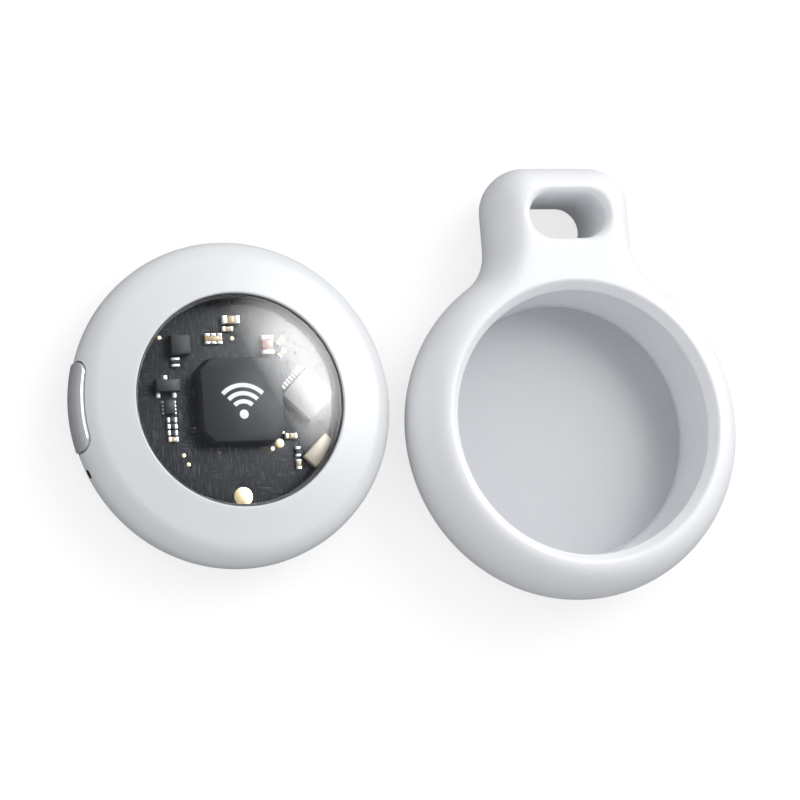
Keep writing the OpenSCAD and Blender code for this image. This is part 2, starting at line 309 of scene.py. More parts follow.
def plated(name, colour, roughness, depth, metallic=1.0, **extra):
    """Plated or soldered metal with small dents and a slightly uneven gloss."""
    finish = new_finish(name)
    dents = finish.noise(3.5, 3)
    tarnish = finish.noise(1.6, 2)
    darker = rgb(*[part * 0.86 for part in colour])
    shader = finish.principled(
        Base_Color=finish.colours(tarnish, darker, rgb(*colour)),
        Metallic=metallic,
        Roughness=roughness - 0.05 + 0.1 * tarnish,
        Normal=finish.bump(dents, depth),
        **extra,
    )
    return finish.use(shader)


def brushed_steel():
    finish = new_finish("bright_steel")
    lines = finish.noise(1, 4, finish.stretched((1.2, 34, 34)))
    shader = finish.principled(
        Base_Color=finish.colours(finish.noise(0.8, 2), rgb(0.2, 0.2, 0.205), rgb(0.27, 0.27, 0.27)),
        Metallic=0.2,
        Roughness=0.44 + 0.16 * lines,
        Specular_IOR_Level=0.2,
        Normal=finish.bump(lines, 0.004),
    )
    return finish.use(shader)


def silver_paint():
    """Satin silver paint with fine flakes."""
    finish = new_finish("silver_button")
    flakes = finish.node("TexVoronoi", {}, {"Vector": finish.mm, "Scale": 22}, "Color")
    level = finish.node("RGBToBW", {}, {"Color": flakes})
    shader = finish.principled(
        Base_Color=finish.colours(level, rgb(0.6, 0.61, 0.64), rgb(0.68, 0.69, 0.72)),
        Metallic=0.35,
        Roughness=0.3 + 0.08 * level,
        Normal=finish.bump(finish.noise(14, 3), 0.002),
        Coat_Weight=0.3,
        Coat_Roughness=0.15,
    )
    return finish.use(shader)


def clear_window():
    """Clear plastic: gloss where it reflects, and plain see-through elsewhere."""
    finish = new_finish("clear_lens")
    gloss = finish.principled(
        Base_Color=rgb(1, 1, 1),
        Metallic=1.0,
        Roughness=0.03 + 0.03 * finish.noise(0.4, 2),
    )
    clear = finish.node("BsdfTransparent", {}, {"Color": rgb(0.985, 0.99, 0.99)})
    inside = finish.node("NewGeometry", output="Backfacing")
    share = finish.node("Fresnel", {}, {"IOR": 1.33}) * (1 - inside)
    return finish.use(finish.node("MixShader", {}, {0: share, 1: clear, 2: gloss}))


def solder_mask():
    """Dark satin mask over fine traces, with small gold-rimmed vias."""
    finish = new_finish("board_mask")
    zone = finish.noise(0.33, 0, finish.stretched((1, 1, 0), (3, 1, 0)))
    upright = finish.noise(1, 2, finish.stretched((7.5, 0.55, 0), (0.4, 0, 0)))
    across = finish.noise(1, 2, finish.stretched((0.6, 7, 0), (0, 0.3, 0)))
    lines = (upright > 0.6) * (zone < 0.53) + (across > 0.62) * (zone > 0.53)
    faint = finish.noise(1, 2, finish.stretched((11, 1.2, 0), (2, 5, 0))) > 0.58
    vias = finish.node("TexVoronoi", {}, {"Vector": finish.stretched((1, 1, 0)), "Scale": 0.5}, "Distance")
    ring = (vias < 0.06) * (vias > 0.03)
    hole = vias < 0.03
    cloud = finish.noise(1.4, 4)
    mask = finish.colours(cloud, rgb(0.008, 0.0095, 0.013), rgb(0.017, 0.019, 0.026))
    hinted = finish.colours(faint * 0.35, mask, rgb(0.1, 0.11, 0.13))
    traced = finish.colours(lines * 0.8, hinted, rgb(0.085, 0.092, 0.11))
    ringed = finish.colours(ring, traced, rgb(0.5, 0.3, 0.16))
    height = lines * 0.6 + ring * 0.9 - hole * 1.0
    shader = finish.principled(
        Base_Color=finish.colours(hole, ringed, rgb(0.01, 0.01, 0.01)),
        Roughness=0.4 + 0.12 * cloud,
        Specular_IOR_Level=0.1,
        Normal=finish.bump(height, 0.015, finish.bump(finish.noise(9, 2), 0.004)),
        Coat_Weight=0.1,
        Coat_Roughness=0.25,
    )
    return finish.use(shader)


def woven_mesh():
    finish = new_finish("dark_mesh")
    weave = [
        finish.node("TexWave", {"bands_direction": way}, {"Vector": finish.mm, "Scale": 2.4})
        for way in ("Y", "Z")
    ]
    height = weave[0].math("MAXIMUM", *weave)
    shader = finish.principled(
        Base_Color=finish.colours(height, rgb(0.004, 0.004, 0.004), rgb(0.14, 0.14, 0.14)),
        Metallic=0.8,
        Roughness=0.45,
        Normal=finish.bump(height, 0.03),
    )
    return finish.use(shader)


MATERIALS = {
    "white_shell": moulded(
        "white_shell", (0.775, 0.79, 0.81), 0.36, 9, 0.0012, 0.015, Specular_IOR_Level=0.12,
    ),
    "white_silicone": soft_silicone(),
    "black_adhesive": moulded("black_adhesive", (0.012, 0.012, 0.013), 0.6, 10, 0.003),
    "black_plastic": moulded("black_plastic", (0.03, 0.03, 0.032), 0.5, 12, 0.004, 0.1),
    "black_rubber": moulded("black_rubber", (0.02, 0.02, 0.02), 0.65, 8, 0.004, 0.1),
    "tray_plastic": moulded("tray_plastic", (0.62, 0.62, 0.61), 0.5, 8, 0.003, 0.05),
    "chip_black": moulded(
        "chip_black", (0.033, 0.036, 0.044), 0.46, 11, 0.006, 0.15, Specular_IOR_Level=0.15,
    ),
    "pale_ceramic": moulded("pale_ceramic", (0.7, 0.61, 0.48), 0.45, 6, 0.004, 0.08),
    "tan_ceramic": moulded("tan_ceramic", (0.52, 0.38, 0.19), 0.4, 6, 0.005, 0.15),
    "red_ceramic": moulded("red_ceramic", (0.36, 0.14, 0.11), 0.4, 6, 0.005, 0.15),
    "white_print": moulded("white_print", (0.9, 0.91, 0.93), 0.55, 14, 0.002, 0.04),
    "tin": plated("tin", (0.9, 0.9, 0.89), 0.3, 0.01, 0.35),
    "gold_plate": plated("gold_plate", (0.93, 0.76, 0.45), 0.3, 0.006, 0.5),
    "copper": plated("copper", (0.72, 0.42, 0.27), 0.35, 0.006),
    "brass_plate": plated("brass_plate", (0.8, 0.62, 0.3), 0.3, 0.006),
    "bright_steel": brushed_steel(),
    "silver_button": silver_paint(),
    "clear_lens": clear_window(),
    "board_mask": solder_mask(),
    "dark_mesh": woven_mesh(),
}
SLOT_OF = {part["node"]: part["material_slot"] for part in frame["record"]["subparts"]}
BODY_OF = {
    node: body for body, nodes in frame["record"]["behaviour"]["bodies"].items() for node in nodes
}


# ---- Shapes ----

def arc(centre, radius, start, end, steps=12):
    """Points along an arc, with its angles in degrees."""
    turns = [radians(start + (end - start) * i / steps) for i in range(steps + 1)]
    return [(centre[0] + radius * cos(a), centre[1] + radius * sin(a)) for a in turns]


def rounded(corners, steps=5):
    """Closed line through (x, y, radius) corners, each one rounded by its radius."""
    points = []
    for i, (x, y, radius) in enumerate(corners):
        here = Vector((x, y))
        to_last = (Vector(corners[i - 1][:2]) - here).normalized()
        to_next = (Vector(corners[(i + 1) % len(corners)][:2]) - here).normalized()
        half = to_last.angle(to_next) / 2
        centre = here + (to_last + to_next).normalized() * radius / sin(half)
        first = here + to_last * radius / tan(half) - centre
        last = here + to_next * radius / tan(half) - centre
        for k in range(steps + 1):
            points.append(tuple(centre + first.lerp(last, k / steps).normalized() * radius))
    return points


def spun(points, steps=180, turn=360, start=0):
    """Closed section of (radius, height) points, spun round the Z axis."""
    bm = bmesh.new()
    verts = [bm.verts.new((r * cos(radians(start)), r * sin(radians(start)), z)) for r, z in points]
    edges = [bm.edges.new((verts[i - 1], verts[i])) for i in range(len(verts))]
    full = turn == 360
    geom = verts + edges
    if not full:
        geom.append(bm.faces.new(verts))
    bmesh.ops.spin(
        bm, geom=geom, cent=(0, 0, 0), axis=(0, 0, 1), angle=radians(turn), steps=steps, use_merge=full,
    )
    bmesh.ops.remove_doubles(bm, verts=bm.verts, dist=0.0005)
    if not full:
        cap_first = [v for v in verts if v.is_valid]
        bmesh.ops.contextual_create(bm, geom=cap_first)
    bmesh.ops.recalc_face_normals(bm, faces=bm.faces)
    return bm


def prism(points, place, length):
    """Outline of (x, y) points, extruded along its local Z and put in place."""
    bm = bmesh.new()
    face = bm.faces.new([bm.verts.new((x, y, 0)) for x, y in points])
    made = bmesh.ops.extrude_face_region(bm, geom=[face])["geom"]
    verts = [item for item in made if isinstance(item, bmesh.types.BMVert)]
    bmesh.ops.translate(bm, verts=verts, vec=(0, 0, length))
    bmesh.ops.transform(bm, matrix=place, verts=bm.verts)
    bmesh.ops.recalc_face_normals(bm, faces=bm.faces)
    return bm


def sliced(bm, geom, axis, spot):
    """Cuts faces with a plane across one axis, so that they can bend there."""
    place, way = Vector(), Vector()
    place[axis], way[axis] = spot, 1
    bmesh.ops.bisect_plane(bm, geom=geom, dist=0.0001, plane_co=place, plane_no=way)


def plain_object(name, bm):
    mesh = bpy.data.meshes.new(name)
    bm.to_mesh(mesh)
    bm.free()
    made = bpy.data.objects.new(name, mesh)
    bpy.context.scene.collection.objects.link(made)
    return made


def joined(bm, *others):
    """Adds other shapes' faces to a shape."""
    for other in others:
        mesh = bpy.data.meshes.new("joined")
        other.to_mesh(mesh)
        other.free()
        bm.from_mesh(mesh)
        bpy.data.meshes.remove(mesh)
    return bm


def carved(bm, *cutters, operation="DIFFERENCE"):
    """Cuts closed shapes out of a closed shape, or adds them to it."""
    block = plain_object("block", bm)
    tools = [plain_object("tool", cutter) for cutter in cutters]
    for tool in tools:
        step = block.modifiers.new("carve", "BOOLEAN")
        step.operation = operation
        step.solver = "EXACT"
        step.object = tool
    bpy.context.view_layer.update()
    graph = bpy.context.evaluated_depsgraph_get()
    result = bmesh.new()
    result.from_mesh(block.evaluated_get(graph).to_mesh())
    for spare in [block, *tools]:
        mesh = spare.data
        bpy.data.objects.remove(spare)
        bpy.data.meshes.remove(mesh)
    bmesh.ops.dissolve_degenerate(result, dist=0.0005, edges=result.edges)
    return result


def piece(name, bm, nodes, smooth=32):
    """Finished piece in metres that stands for the named CAD nodes."""
    bmesh.ops.scale(bm, vec=(MM, MM, MM), verts=bm.verts)
    return finished(name, bm, nodes, smooth)


def finished(name, bm, nodes, smooth):
    made = smoothed(name, bm, SLOT_OF[nodes[0]], BODY_OF[nodes[0]], smooth)
    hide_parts(*nodes)
    return made


def new_piece(name, bm, slot, body, smooth=32):
    """Finished piece in metres, of a finish and on a body, that adds to the CAD nodes."""
    bmesh.ops.scale(bm, vec=(MM, MM, MM), verts=bm.verts)
    return smoothed(name, bm, slot, body, smooth)


def smoothed(name, bm, slot, body, smooth):
    made = plain_object(name, bm)
    mesh = made.data
    mesh.shade_smooth()
    mesh.set_sharp_from_angle(angle=radians(smooth))
    mesh.materials.clear()
    mesh.materials.append(MATERIALS[slot])
    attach(made, body)
    return made


def softened(node, width, segments=2, smooth=40):
    """Copy of a CAD node with its sharp edges rounded."""
    bm = bmesh.new()
    bm.from_mesh(frame["nodes"][node].data)
    bmesh.ops.remove_doubles(bm, verts=bm.verts, dist=0.002 * MM)
    bmesh.ops.dissolve_limit(bm, angle_limit=radians(1.5), verts=bm.verts, edges=bm.edges)
    sharp = [e for e in bm.edges if len(e.link_faces) == 2 and e.calc_face_angle(0) > radians(35)]
    bmesh.ops.bevel(
        bm, geom=sharp, offset=width * MM, offset_type="OFFSET", affect="EDGES", segments=segments,
        profile=0.5, material=-1, clamp_overlap=True,
    )
    return finished(node + "_soft", bm, [node], smooth)


# ---- Tag ----

def button_outline(grow):
    """Button's outline in the (y, z) plane."""
    half, corner = BUTTON_HALF + grow, BUTTON_CORNER + grow
    z_low, z_high = BUTTON_LOW - grow, BUTTON_HIGH + grow
    return rounded([
        (-half, z_low, corner), (half, z_low, corner), (half, z_high, corner), (-half, z_high, corner),
    ], 8)


ALONG_X = Matrix(((0, 0, 1, 0), (1, 0, 0, 0), (0, 1, 0, 0), (0, 0, 0, 1)))


def button_bar(grow, x_far, x_near):
    return prism(button_outline(grow), Matrix.Translation((x_far, 0, 0)) @ ALONG_X, x_near - x_far)


def sound_drill():
    turn = Matrix.Rotation(radians(SOUND_ANGLE), 4, "Z")
    out = Matrix.Translation((13.2, 0, LOW_R)) @ ALONG_X
    return prism(arc((0, 0), 0.5, 0, 345, 23), turn @ out, TAG_R - 12.2)


def front_shell():
    """White upper shell: rim, sloping face, and the ledge that the lens rests on."""
    ledge_out = WINDOW_R + 0.9
    tangent = radians(90 - FACE_SLOPE)
    inner_top = (UP_C[0] + (UP_R - WALL) * cos(tangent), UP_C[1] + (UP_R - WALL) * sin(tangent))
    rise = tan(radians(FACE_SLOPE))
    face_in = (ledge_out, inner_top[1] + (inner_top[0] - ledge_out) * rise)
    lip = 0.16
    section = (
        arc(LOW_C, LOW_R, PARTING_ANGLE + 0.9, 0, 6)
        + arc(UP_C, UP_R, 0, 90 - FACE_SLOPE, 24)
        + [(WINDOW_R + 2.4, FACE_Z - 2.4 * rise), (WINDOW_R + 1, FACE_Z - rise)]
        + arc((WINDOW_R + lip, FACE_Z - lip - 0.03), lip, 90 - FACE_SLOPE, 180, 6)
        + [(WINDOW_R, LEDGE_Z), (LEDGE_R, LEDGE_Z), (LEDGE_R, LEDGE_Z - LEDGE_T)]
        + [(ledge_out, LEDGE_Z - LEDGE_T), face_in]
        + arc(UP_C, UP_R - WALL, 90 - FACE_SLOPE, 0, 10)
        + arc(LOW_C, LOW_R - WALL, 0, degrees(asin((PARTING_Z - LOW_C[1]) / (LOW_R - WALL))), 4)
        + [(LOW_C[0] + LOW_R * cos(radians(PARTING_ANGLE)) - 0.07, PARTING_Z)]
    )
    bm = carved(spun(section), button_bar(BUTTON_GAP, -TAG_R - 1, -12.2), sound_drill())
    return piece("front_shell", bm, ["front_housing"])


def wedges(r_in, r_out, half, turn, z, height):
    """Three wedge-shaped tabs or notches round the door."""
    square = [(r_in, z), (r_out, z), (r_out, z + height), (r_in, z + height)]
    return [spun(square, 8, 2 * half, turn - half + place) for place in (0, 120, 240)]


def rear_shell():
    """White lower shell, with a lip inside the upper one, bayonet notches and room for the button."""
    lip_out, lip_in = TAG_R - WALL - 0.24, TAG_R - WALL - 0.7
    inner_r = LOW_R - WALL
    lip_turn = -degrees(acos((lip_in - LOW_C[0]) / inner_r))
    section = (
        [(DOOR_HOLE_R, 0.12), (DOOR_HOLE_R + 0.04, 0.04), (DOOR_HOLE_R + 0.12, 0), (LOW_C[0] - 0.3, 0)]
        + arc(LOW_C, LOW_R, -90, PARTING_ANGLE - 0.9, 22)
        + [(LOW_C[0] + LOW_R * cos(radians(PARTING_ANGLE)) - 0.07, PARTING_Z - 0.01)]
        + [(lip_out, PARTING_Z - 0.01), (lip_out, PARTING_Z + 0.8)]
        + [(lip_out - 0.1, PARTING_Z + 0.9), (lip_in, PARTING_Z + 0.9)]
        + arc(LOW_C, inner_r, lip_turn, -90, 8)
        + [(DOOR_HOLE_R, WALL)]
    )
    room_far, room_near, room_half = -14.35, -12.5, 5.3
    clearance = prism(
        [(room_far, -room_half), (room_near, -room_half), (room_near, room_half), (room_far, room_half)],
        Matrix.Translation((0, 0, PARTING_Z - 0.7)), 3,
    )
    bm = carved(
        spun(section), *wedges(DOOR_HOLE_R - 0.5, 12.75, 11, DOOR_TURN + 1, -1, 3),
        button_bar(BUTTON_GAP, -TAG_R - 1, -12.9), clearance, sound_drill(),
    )
    return piece("rear_shell", bm, ["rear_housing"])


def battery_door():
    """Disc with its seal groove, coin slot, round recess and three bayonet tabs."""
    depth, skirt_z = 0.85, 1.65
    groove_half = degrees(acos(0.14 / 0.3))
    section = (
        [(0, 0.2), (2.45, 0.2), (2.55, 0.17), (2.6, 0.1), (2.65, 0.03), (2.75, 0)]
        + [(DOOR_R - 0.9, 0), (DOOR_R - 0.75, 0), (DOOR_R - 0.7, 0.07), (DOOR_R - 0.6, 0.07)]
        + [(DOOR_R - 0.55, 0), (DOOR_R - 0.14, 0), (DOOR_R - 0.04, 0.04), (DOOR_R, 0.14)]
        + arc((DOOR_R - 0.14, 0.5), 0.3, -groove_half, groove_half - 360, 14)
        + [(DOOR_R, skirt_z - 0.1), (DOOR_R - 0.1, skirt_z), (DOOR_R - 0.8, skirt_z)]
        + [(DOOR_R - 0.8, depth), (0, depth)]
    )
    slot = prism(
        arc((3.8, 0), 0.7, -90, 90, 10) + arc((-3.8, 0), 0.7, 90, 270, 10),
        Matrix.Translation((0, 0, -1)), 1.4,
    )
    body = carved(spun(section), slot)
    tabs = wedges(DOOR_R - 0.5, 12.6, 9, 0, 1.15, 0.5)
    return piece("door_disc", carved(body, *tabs, operation="UNION"), ["battery_door"])


def lens():
    """Clear lens: a low dome inside a nearly flat rim whose edge is rounded."""
    rise = DOME_TOP - LENS_Z - LENS_T
    ball = (DOME_R ** 2 + rise ** 2) / (2 * rise)
    foot = degrees(asin(DOME_R / ball))
    edge = 0.22
    drop = 0.05
    ball_z = LENS_Z + LENS_T + rise - ball
    section = (
        arc((0, ball_z), ball, 90, 90 - foot, 40)[:-1]
        + [(DOME_R + 0.02, LENS_Z + LENS_T - 0.002), (LENS_R - edge, LENS_Z + LENS_T - drop)]
        + arc((LENS_R - edge, LENS_Z + LENS_T - drop - edge), edge, 90, 0, 8)[1:]
        + [(LENS_R, LENS_Z + 0.06), (LENS_R - 0.06, LENS_Z)]
        + arc((0, ball_z - LENS_T), ball, 90 - foot, 90, 40)
    )
    section[0] = (0, DOME_TOP)
    section[-1] = (0, DOME_TOP - LENS_T)
    return piece("domed_lens", spun(section), ["window_lens"], 6)


def ring_of(node, r_in, soft):
    """Ring as wide and high as a CAD ring, with rounded edges."""
    z_low, z_high, r_out = low(node).z, high(node).z, high(node).x
    return spun(rounded([
        (r_in, z_low, soft), (r_out, z_low, soft), (r_out, z_high, soft), (r_in, z_high, soft),
    ], 2))


def lens_mounting():
    """Adhesive under the lens's rim, and the dark sleeve round the board's window."""
    piece("adhesive_ring", ring_of("lens_adhesive_ring", LEDGE_R + 0.01, 0.01), ["lens_adhesive_ring"])
    middle = (low("chip_antenna") + high("chip_antenna")) / 2
    turn = Matrix.Translation((middle.x, middle.y, 4)) @ Matrix.Rotation(radians(45), 4, "Z")
    room = prism([(-1.7, -0.9), (1.7, -0.9), (1.7, 0.9), (-1.7, 0.9)], turn, 1.5)
    sleeve = ring_of("window_bezel", LEDGE_R - 0.14, 0.03)
    piece("dark_sleeve", carved(sleeve, room), ["window_bezel"])


def window_gasket():
    """Thin black gasket between the lens's edge and the front shell."""
    z_low, z_high = LENS_Z + 0.02, LENS_Z + LENS_T - 0.2
    r_in, r_out = LENS_R + 0.015, WINDOW_R - 0.015
    bm = spun([(r_in, z_low), (r_out, z_low), (r_out, z_high), (r_in, z_high)])
    return new_piece("window_gasket", bm, "black_adhesive", "tag")


def rim_radius(z):
    """Radius of the tag's outside at a height on its rim."""
    if LOW_C[1] <= z <= UP_C[1]:
        return TAG_R
    centre, radius = (LOW_C, LOW_R) if z < LOW_C[1] else (UP_C, UP_R)
    return centre[0] + sqrt(radius ** 2 - (z - centre[1]) ** 2)


def side_button():
    """Button that follows the rim, with rounded edges, a tab behind each end and a stem."""
    soft = 0.38
    bm = bmesh.new()
    face = bm.faces.new([bm.verts.new((0, y, z)) for y, z in button_outline(0)])
    depth_of = bm.verts.layers.float.new("depth")
    rings = 6
    done = 0
    for i in range(1, rings + 1):
        at = soft * (1 - cos(radians(90 * i / rings)))
        bmesh.ops.inset_region(bm, faces=[face], thickness=at - done, use_even_offset=True)
        done = at
        for vert in face.verts:
            vert[depth_of] = at
    for vert in bm.verts:
        vert[depth_of] = soft - sqrt(max(soft ** 2 - (soft - vert[depth_of]) ** 2, 0))
    cuts = [(1, i * 0.35 - 4.2) for i in range(25)] + [(2, 1.7 + i * 0.3) for i in range(12)]
    for axis, spot in cuts:
        sliced(bm, [*bm.verts, *bm.edges, *bm.faces], axis, spot)
    for vert in bm.verts:
        _, y, z = vert.co
        vert.co.x = vert[depth_of] - BUTTON_PROUD - sqrt(rim_radius(z) ** 2 - y ** 2)
    border = [e for e in bm.edges if e.is_boundary]
    made = bmesh.ops.extrude_edge_only(bm, edges=border)["geom"]
    for vert in made:
        if isinstance(vert, bmesh.types.BMVert):
            vert.co.x = BUTTON_BACK
    bmesh.ops.contextual_create(bm, geom=[e for e in bm.edges if e.is_boundary])
    bmesh.ops.recalc_face_normals(bm, faces=bm.faces)
    inwards = Matrix.Translation((BUTTON_BACK - 0.1, 0, 0)) @ ALONG_X
    tabs = [
        prism([(y - 0.3, 2.95), (y + 0.3, 2.95), (y + 0.3, 3.85), (y - 0.3, 3.85)], inwards, 0.4)
        for y in (-4.42, 4.42)
    ]
    stem = prism(arc((0, 3.6), 0.9, 0, 345, 23), inwards, 0.75)
    return piece("button_cap", joined(bm, *tabs, stem), ["side_button"], 40)


def sound_shade_sleeve():
    """Thin black sleeve that lines the sound hole: painted shade that darkens the inside of the hole."""
    turn = Matrix.Rotation(radians(SOUND_ANGLE), 4, "Z") @ Matrix.Translation((0, 0, LOW_R)) @ ALONG_X
    bm = spun([(0.4, 13.9), (0.5, 13.9), (0.5, TAG_R - 0.1), (0.47, TAG_R - 0.06), (0.4, TAG_R - 0.1)], 32)
    bmesh.ops.transform(bm, matrix=turn, verts=bm.verts)
    # The black lining is painted shade for the inside of the hole.
    return new_piece("sound_shade_sleeve", bm, "black_rubber", "tag")


front_shell()
rear_shell()
battery_door()
lens()
lens_mounting()
side_button()
sound_shade_sleeve()
window_gasket()


# ---- Holder ----

def holder_outline():
    """Outline at the widest height, as (point, outward direction) pairs, anticlockwise."""
    touch = degrees(atan2(FLARE_Y, FLARE_X))
    stretches = [
        ((0, 0), HOLDER_R, 1, 180 - touch, 360 + touch, 132),
        ((FLARE_X, FLARE_Y), FLARE_R, -1, 180 + touch, 180, 18),
        ((CORNER_X, CORNER_Y), LUG_CORNER, 1, 0, 90, 18),
        ((-CORNER_X, CORNER_Y), LUG_CORNER, 1, 90, 180, 18),
        ((-FLARE_X, FLARE_Y), FLARE_R, -1, 0, -touch, 18),
    ]
    pairs = []
    for centre, radius, side, start, end, steps in stretches:
        for x, y in arc(centre, radius, start, end, steps):
            point = Vector((x, y, 0))
            out = side * (point - Vector((*centre, 0))) / radius
            if not pairs or (point - pairs[-1][0]).length > 0.001:
                pairs.append((point, out))
    if (pairs[0][0] - pairs[-1][0]).length < 0.001:
        pairs.pop()
    return pairs


def edge_distance(x, y):
    """How far a point of the holder lies inside its outline."""
    x = abs(x)
    if atan2(y, x) < atan2(FLARE_Y, FLARE_X):
        return HOLDER_R - hypot(x, y)
    if y < FLARE_Y:
        return hypot(x - FLARE_X, y - FLARE_Y) - FLARE_R
    if x > CORNER_X and y > CORNER_Y:
        return LUG_CORNER - hypot(x - CORNER_X, y - CORNER_Y)
    return min(LUG_HALF - x, LUG_END - y)


def top_height(x, y):
    """Height of the holder's rounded top, softened round the slot."""
    inside = min(max(edge_distance(x, y), 0), BULGE)
    height = HOLDER_T / 2 * (1 + sqrt(1 - (1 - inside / BULGE) ** 2))
    from_slot = hypot(max(abs(x) - SLOT_HALF + SLOT_R, 0), y - SLOT_Y) - SLOT_R
    if from_slot < SLOT_SOFT:
        height -= SLOT_SOFT - sqrt(SLOT_SOFT ** 2 - (SLOT_SOFT - max(from_slot, 0)) ** 2)
    return height


def loop_of(bm, out_of, pairs, z):
    """Closed loop of edges, whose points remember their outward direction."""
    verts = []
    for point, out in pairs:
        vert = bm.verts.new((point.x, point.y, z))
        vert[out_of] = out
        verts.append(vert)
    return [bm.edges.new((verts[i - 1], verts[i])) for i in range(len(verts))]


def carried(bm, out_of, loop, outward, upward):
    """Extrudes a loop of edges and moves the new loop outwards and upwards."""
    made = bmesh.ops.extrude_edge_only(bm, edges=loop)["geom"]
    verts = {item for item in made if isinstance(item, bmesh.types.BMVert)}
    for vert in verts:
        vert.co += vert[out_of] * outward + Vector((0, 0, upward))
    edges = [item for item in made if isinstance(item, bmesh.types.BMEdge)]
    return [edge for edge in edges if edge.verts[0] in verts and edge.verts[1] in verts]


def ring_pairs(steps, radius):
    """A circle, as (point, outward direction) pairs."""
    points = arc((0, 0), radius, 0, 360, steps)[:-1]
    return [(Vector((x, y, 0)), Vector((x, y, 0)) / radius) for x, y in points]


def slot_pairs():
    """The lug's slot, as (point, outward direction) pairs."""
    reach = SLOT_HALF - SLOT_R
    return [
        (Vector((x, y, 0)), Vector((x - centre_x, y - SLOT_Y, 0)) / SLOT_R)
        for centre_x, start in ((reach, -90), (-reach, 90))
        for x, y in arc((centre_x, SLOT_Y), SLOT_R, start, start + 180, 20)
    ]


def pocket_steps():
    """Section of the pocket from the top of its mouth down to the middle of its floor."""
    crest, edge, band = 0.5, 0.14, atan2(HOLDER_T - LIP_Z, MOUTH_R - LIP_R)
    tag_low = (LOW_C[0], LOW_C[1] + FLOOR_T)
    tag_up = (UP_C[0], UP_C[1] + FLOOR_T)
    crest_in = crest * tan(band / 2)
    band_angle = degrees(band)
    lip_c = (LIP_R + edge * 1.15, LIP_Z - 0.02 + edge * 0.1)
    floor_z = FLOOR_T - SEAT_GAP
    return (
        arc((MOUTH_R + crest_in, HOLDER_T - crest), crest, 90, 90 + band_angle, 6)
        + arc(lip_c, edge, 90 + band_angle, 270 - FACE_SLOPE, 5)
        + arc(tag_up, UP_R + SEAT_GAP, 90 - FACE_SLOPE - 2, 0, 12)
        + arc(tag_low, LOW_R + SEAT_GAP, 0, -86, 20)
        + arc((LOW_C[0], floor_z), 0.13, 60, 180, 6)
        + [(LOW_C[0] - 0.5, floor_z), (6, floor_z)]
    )


def cap(bm, loops, level):
    """Fills flat between loops at one level, and cuts the lug's part into a fine grid."""
    rims = set(loops)
    for vert in {v for e in loops for v in e.verts}:
        vert.co.z = level
    made = bmesh.ops.triangle_fill(bm, use_beauty=True, use_dissolve=False, edges=loops)["geom"]
    crossing = {
        e for f in made if isinstance(f, bmesh.types.BMFace) and f.calc_center_median().y < LUG_FOOT_Y
        for e in f.edges if e not in rims
    }
    bmesh.ops.subdivide_edges(bm, edges=list(crossing), cuts=3)
    step = 0.5
    lines = [(1, LUG_FOOT_Y + step * i) for i in range(29)] + [(0, -8 + step * i) for i in range(33)]
    for axis, spot in lines:
        faces = [
            f for f in bm.faces if f.calc_center_median().y > LUG_FOOT_Y - 1 and on_level(f.verts, level)
        ]
        edges = {e for f in faces for e in f.edges}
        verts = {v for e in edges for v in e.verts}
        sliced(bm, [*faces, *edges, *verts], axis, spot)


def on_level(verts, level):
    return all(abs(vert.co.z - level) < 0.0001 for vert in verts)


def loop_holder():
    """Soft one-piece holder: a bulging outside, the lug with its slot, and the pocket."""
    bm = bmesh.new()
    out_of = bm.verts.layers.float_vector.new("outward")
    middle = loop_of(bm, out_of, holder_outline(), HOLDER_T / 2)
    last_in = 2.2
    last_turn = acos(1 - last_in / BULGE)
    levels = 14
    turns = [last_turn * i / levels for i in range(levels + 1)]
    ends = []
    for side in (1, -1):
        loop = middle
        for turn, after in zip(turns, turns[1:]):
            inward = BULGE * (cos(turn) - cos(after))
            upward = side * HOLDER_T / 2 * (sin(after) - sin(turn))
            loop = carried(bm, out_of, loop, -inward, upward)
        ends.append(loop)
    steps = pocket_steps()
    ring_steps, soft_steps = 168, 8
    mouth = loop_of(bm, out_of, ring_pairs(ring_steps, steps[0][0]), HOLDER_T)
    base = loop_of(bm, out_of, ring_pairs(ring_steps, HOLDER_R - BULGE), 0)
    for end, level, rim in ((ends[0], HOLDER_T, mouth), (ends[1], 0, base)):
        ring = loop_of(bm, out_of, slot_pairs(), level)
        for i in range(soft_steps):
            turn, after = radians(90 * i / soft_steps), radians(90 * (i + 1) / soft_steps)
            ring = carried(bm, out_of, ring, SLOT_SOFT * (cos(turn) - cos(after)), 0)
        cap(bm, end + rim + ring, level)
    for vert in bm.verts:
        if on_level([vert], HOLDER_T):
            vert.co.z = top_height(vert.co.x, vert.co.y)
        elif on_level([vert], 0):
            vert.co.z = HOLDER_T - top_height(vert.co.x, vert.co.y)
    walls = [e for e in bm.edges if e.is_boundary and e.verts[0].co.y > SLOT_Y - SLOT_R - 0.1]
    bmesh.ops.bridge_loops(bm, edges=walls)
    under = [e for e in bm.edges if e.is_boundary and e.verts[0].co.z < 1]
    bmesh.ops.contextual_create(bm, geom=under)
    loop = [e for e in bm.edges if e.is_boundary]
    for vert in {v for e in loop for v in e.verts}:
        vert[out_of] = Vector((vert.co.x, vert.co.y, 0)).normalized()
    for (r, z), (r_after, z_after) in zip(steps, steps[1:]):
        loop = carried(bm, out_of, loop, r_after - r, z_after - z)
    bmesh.ops.contextual_create(bm, geom=loop)
    bmesh.ops.translate(bm, verts=bm.verts, vec=(HOLDER_X, HOLDER_Y, 0))
    bmesh.ops.recalc_face_normals(bm, faces=bm.faces)
    return piece("silicone_loop_holder", bm, ["holder"], 38)


loop_holder()


# ---- Board and what is on it, battery and contacts ----

